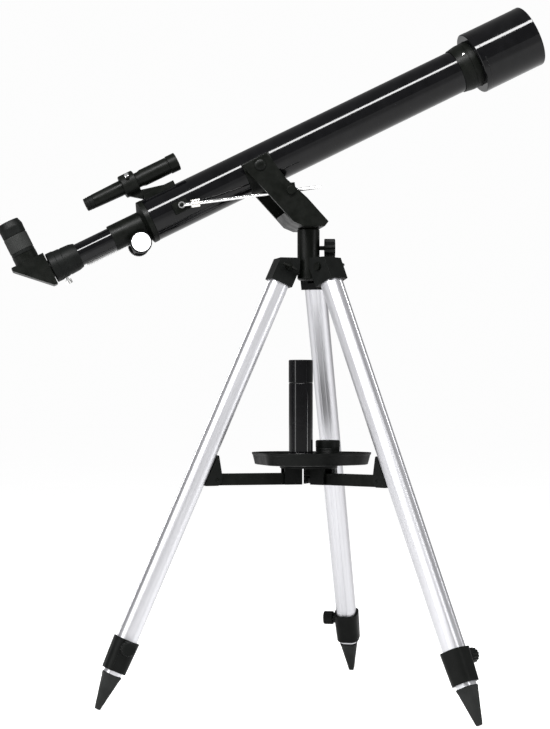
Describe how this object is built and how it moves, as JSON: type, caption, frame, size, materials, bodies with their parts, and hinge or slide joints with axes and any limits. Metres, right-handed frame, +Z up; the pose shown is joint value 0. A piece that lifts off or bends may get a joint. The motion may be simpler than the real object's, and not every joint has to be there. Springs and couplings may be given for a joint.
{
  "type": "refractor telescope on tripod",
  "caption": "Small black refracting telescope on a fork mount, with finder, star diagonal and slow-motion rod, on an aluminium tripod with spreader and tray.",
  "frame": {"origin": "middle of the bounding box on the floor, where the feet stand", "axes": "+X the way the tube points over the ground, +Y to the left of the tube, +Z up"},
  "size_m": [0.7632, 0.516, 0.9711],
  "materials": {
    "gloss_black": "gloss black paint",
    "satin_black": "satin black paint",
    "black_plastic": "moulded, fine grain",
    "rubber": "dull",
    "aluminium": "brushed along the leg",
    "chrome": "polished",
    "brass": "lightly worn",
    "glass": "clear, coated"
  },
  "bodies": {
    "head": {"tripod_head": "satin_black"},
    "fork": {"yoke": "satin_black", "pivot_screw_right": "satin_black", "pivot_screw_left": "satin_black"},
    "optical_tube": {"main_tube": "gloss_black", "objective_cell": "satin_black", "objective_lens": "glass", "dew_shield": "gloss_black", "focuser_body": "satin_black", "tube_saddle": "satin_black", "rod_bracket": "satin_black", "finder_bracket": "satin_black", "finder_tube": "gloss_black", "finder_lens": "glass"},
    "slow_motion_rod": {"altitude_rod": "chrome"},
    "adjusting_nut": {"slow_motion_nut": "chrome"},
    "rod_block": {"rod_clamp": "satin_black"},
    "focuser": {"drawtube": "gloss_black", "focus_rack": "chrome", "drawtube_collar": "black_plastic"},
    "pinion": {"focus_pinion": "brass", "focus_knob_right": "black_plastic", "focus_knob_left": "black_plastic"},
    "collar_screw": {"collar_screw": "chrome"},
    "diagonal": {"diagonal_housing": "satin_black", "diagonal_prism": "glass"},
    "eyepiece": {"eyepiece": "black_plastic", "eyepiece_lens": "glass"},
    "finder_eyepiece": {"finder_eyepiece": "black_plastic"},
    "finder_screw": {"finder_screw": "chrome"},
    "azimuth_knob": {"azimuth_knob": "black_plastic"},
    "leg_1": {"leg_cap_1": "black_plastic", "leg_tube_1": "aluminium", "leg_collar_1": "black_plastic", "brace_bracket_1": "black_plastic"},
    "hinge_bolt_1": {"hinge_bolt_1": "satin_black"},
    "lower_leg_1": {"lower_leg_1": "rubber"},
    "leg_lock_screw_1": {"leg_lock_screw_1": "black_plastic"},
    "brace_1": {"brace_arm_1": "satin_black"},
    "leg_2": {"leg_cap_2": "black_plastic", "leg_tube_2": "aluminium", "leg_collar_2": "black_plastic", "brace_bracket_2": "black_plastic"},
    "hinge_bolt_2": {"hinge_bolt_2": "satin_black"},
    "lower_leg_2": {"lower_leg_2": "rubber"},
    "leg_lock_screw_2": {"leg_lock_screw_2": "black_plastic"},
    "brace_2": {"brace_arm_2": "satin_black"},
    "leg_3": {"leg_cap_3": "black_plastic", "leg_tube_3": "aluminium", "leg_collar_3": "black_plastic", "brace_bracket_3": "black_plastic"},
    "hinge_bolt_3": {"hinge_bolt_3": "satin_black"},
    "lower_leg_3": {"lower_leg_3": "rubber"},
    "leg_lock_screw_3": {"leg_lock_screw_3": "black_plastic"},
    "brace_3": {"brace_arm_3": "satin_black"},
    "spreader": {"spreader_hub": "black_plastic", "tray": "black_plastic", "erecting_eyepiece": "gloss_black", "spare_eyepiece": "black_plastic"},
    "tray_screw": {"tray_screw": "black_plastic"}
  },
  "joints": [
    {"name": "azimuth_turn", "type": "hinge", "parent": "head", "child": "fork", "pos_m": [0.04463, -0.02049, 0.64157], "axis": [0, 0, 1], "continuous": true},
    {"name": "altitude_tilt", "type": "hinge", "parent": "fork", "child": "optical_tube", "pos_m": [-0.02937, -0.02049, 0.73557], "axis": [0, -1, 0], "range_deg": [-25, 40]},
    {"name": "rod_swivel", "type": "hinge", "parent": "optical_tube", "child": "slow_motion_rod", "pos_m": [-0.13573, -0.05699, 0.67996], "axis": [0, -1, 0], "range_deg": [-9, 6]},
    {"name": "nut_turn", "type": "hinge", "parent": "slow_motion_rod", "child": "adjusting_nut", "pos_m": [-0.13573, -0.05699, 0.67996], "axis": [0.9896, 0, 0.144], "continuous": true},
    {"name": "clamp_swivel", "type": "hinge", "parent": "fork", "child": "rod_block", "pos_m": [0.01263, -0.06149, 0.70157], "axis": [0, -1, 0], "range_deg": [-21, 33]},
    {"name": "focus_slide", "type": "slide", "parent": "optical_tube", "child": "focuser", "axis": [-0.8938, 0, -0.4485], "range_m": [0, 0.06]},
    {"name": "pinion_turn", "type": "hinge", "parent": "optical_tube", "child": "pinion", "pos_m": [-0.18976, -0.02049, 0.62934], "axis": [0, -1, 0], "range_deg": [0, 770]},
    {"name": "collar_screw_turn", "type": "hinge", "parent": "focuser", "child": "collar_screw", "pos_m": [-0.28942, -0.02049, 0.58268], "axis": [0.4485, 0, -0.8938], "continuous": true},
    {"name": "diagonal_swivel", "type": "hinge", "parent": "focuser", "child": "diagonal", "pos_m": [-0.3118, -0.02049, 0.59383], "axis": [0.8938, 0, 0.4485], "range_deg": [-90, 90]},
    {"name": "eyepiece_slide", "type": "slide", "parent": "diagonal", "child": "eyepiece", "axis": [-0.4485, 0, 0.8938], "range_m": [0, 0.03]},
    {"name": "finder_focus_turn", "type": "hinge", "parent": "optical_tube", "child": "finder_eyepiece", "pos_m": [-0.25604, -0.02049, 0.68559], "axis": [0.8938, 0, 0.4485], "range_deg": [-180, 180]},
    {"name": "finder_screw_turn", "type": "hinge", "parent": "optical_tube", "child": "finder_screw", "pos_m": [-0.20464, -0.02049, 0.71138], "axis": [-0.2243, -0.866, 0.4469], "continuous": true},
    {"name": "azimuth_knob_turn", "type": "hinge", "parent": "head", "child": "azimuth_knob", "pos_m": [0.06443, -0.02327, 0.62657], "axis": [0.9903, -0.1392, 0], "continuous": true},
    {"name": "leg_fold_1", "type": "hinge", "parent": "head", "child": "leg_1", "pos_m": [0.01125, -0.02518, 0.59857], "axis": [0.1392, -0.9903, 0], "range_deg": [0, 6]},
    {"name": "wing_nut_turn_1", "type": "hinge", "parent": "head", "child": "hinge_bolt_1", "pos_m": [0.01125, -0.02518, 0.59857], "axis": [0.1392, -0.9903, 0], "continuous": true},
    {"name": "leg_extend_1", "type": "slide", "parent": "leg_1", "child": "lower_leg_1", "axis": [-0.3983, -0.056, -0.9155], "range_m": [0, 0.25]},
    {"name": "leg_lock_turn_1", "type": "hinge", "parent": "leg_1", "child": "leg_lock_screw_1", "pos_m": [-0.2099, -0.07646, 0.08388], "axis": [0.1392, -0.9903, 0], "continuous": true},
    {"name": "brace_swing_1", "type": "hinge", "parent": "leg_1", "child": "brace_1", "pos_m": [-0.08713, -0.03901, 0.30657], "axis": [0.1392, -0.9903, 0], "range_deg": [0, 38]},
    {"name": "leg_fold_2", "type": "hinge", "parent": "head", "child": "leg_2", "pos_m": [0.06538, -0.04705, 0.59857], "axis": [0.788, 0.6157, 0], "range_deg": [0, 6]},
    {"name": "wing_nut_turn_2", "type": "hinge", "parent": "head", "child": "hinge_bolt_2", "pos_m": [0.06538, -0.04705, 0.59857], "axis": [0.788, 0.6157, 0], "continuous": true},
    {"name": "leg_extend_2", "type": "slide", "parent": "leg_2", "child": "lower_leg_2", "axis": [0.2476, -0.317, -0.9155], "range_m": [0, 0.25]},
    {"name": "leg_lock_turn_2", "type": "hinge", "parent": "leg_2", "child": "leg_lock_screw_2", "pos_m": [0.22036, -0.21293, 0.08388], "axis": [0.788, 0.6157, 0], "continuous": true},
    {"name": "brace_swing_2", "type": "hinge", "parent": "leg_2", "child": "brace_2", "pos_m": [0.12654, -0.12534, 0.30657], "axis": [0.788, 0.6157, 0], "range_deg": [0, 38]},
    {"name": "leg_fold_3", "type": "hinge", "parent": "head", "child": "leg_3", "pos_m": [0.05725, 0.01076, 0.59857], "axis": [-0.9272, 0.3746, 0], "range_deg": [0, 6]},
    {"name": "wing_nut_turn_3", "type": "hinge", "parent": "head", "child": "hinge_bolt_3", "pos_m": [0.05725, 0.01076, 0.59857], "axis": [-0.9272, 0.3746, 0], "continuous": true},
    {"name": "leg_extend_3", "type": "slide", "parent": "leg_3", "child": "lower_leg_3", "axis": [0.1507, 0.373, -0.9155], "range_m": [0, 0.25]},
    {"name": "leg_lock_turn_3", "type": "hinge", "parent": "leg_3", "child": "leg_lock_screw_3", "pos_m": [0.12342, 0.22792, 0.08388], "axis": [-0.9272, 0.3746, 0], "continuous": true},
    {"name": "brace_swing_3", "type": "hinge", "parent": "leg_3", "child": "brace_3", "pos_m": [0.09447, 0.10287, 0.30657], "axis": [-0.9272, 0.3746, 0], "range_deg": [0, 38]},
    {"name": "spreader_rise", "type": "slide", "parent": "head", "child": "spreader", "axis": [0, 0, 1], "range_m": [0, 0.07]},
    {"name": "tray_screw_turn", "type": "hinge", "parent": "spreader", "child": "tray_screw", "pos_m": [0.04463, -0.02049, 0.31657], "axis": [0, 0, 1], "continuous": true}
  ],
  "couplings": [
    {"joint": "rod_swivel", "follows": "altitude_tilt", "ratio": -0.22},
    {"joint": "clamp_swivel", "follows": "altitude_tilt", "ratio": 0.78},
    {"joint": "pinion_turn", "follows": "focus_slide", "rad_per_m": 222.22},
    {"joint": "leg_fold_2", "follows": "leg_fold_1", "ratio": 1},
    {"joint": "leg_fold_3", "follows": "leg_fold_1", "ratio": 1},
    {"joint": "brace_swing_1", "follows": "leg_fold_1", "ratio": 6.2},
    {"joint": "brace_swing_2", "follows": "leg_fold_1", "ratio": 6.2},
    {"joint": "brace_swing_3", "follows": "leg_fold_1", "ratio": 6.2},
    {"joint": "spreader_rise", "follows": "leg_fold_1", "m_per_rad": 0.64}
  ]
}
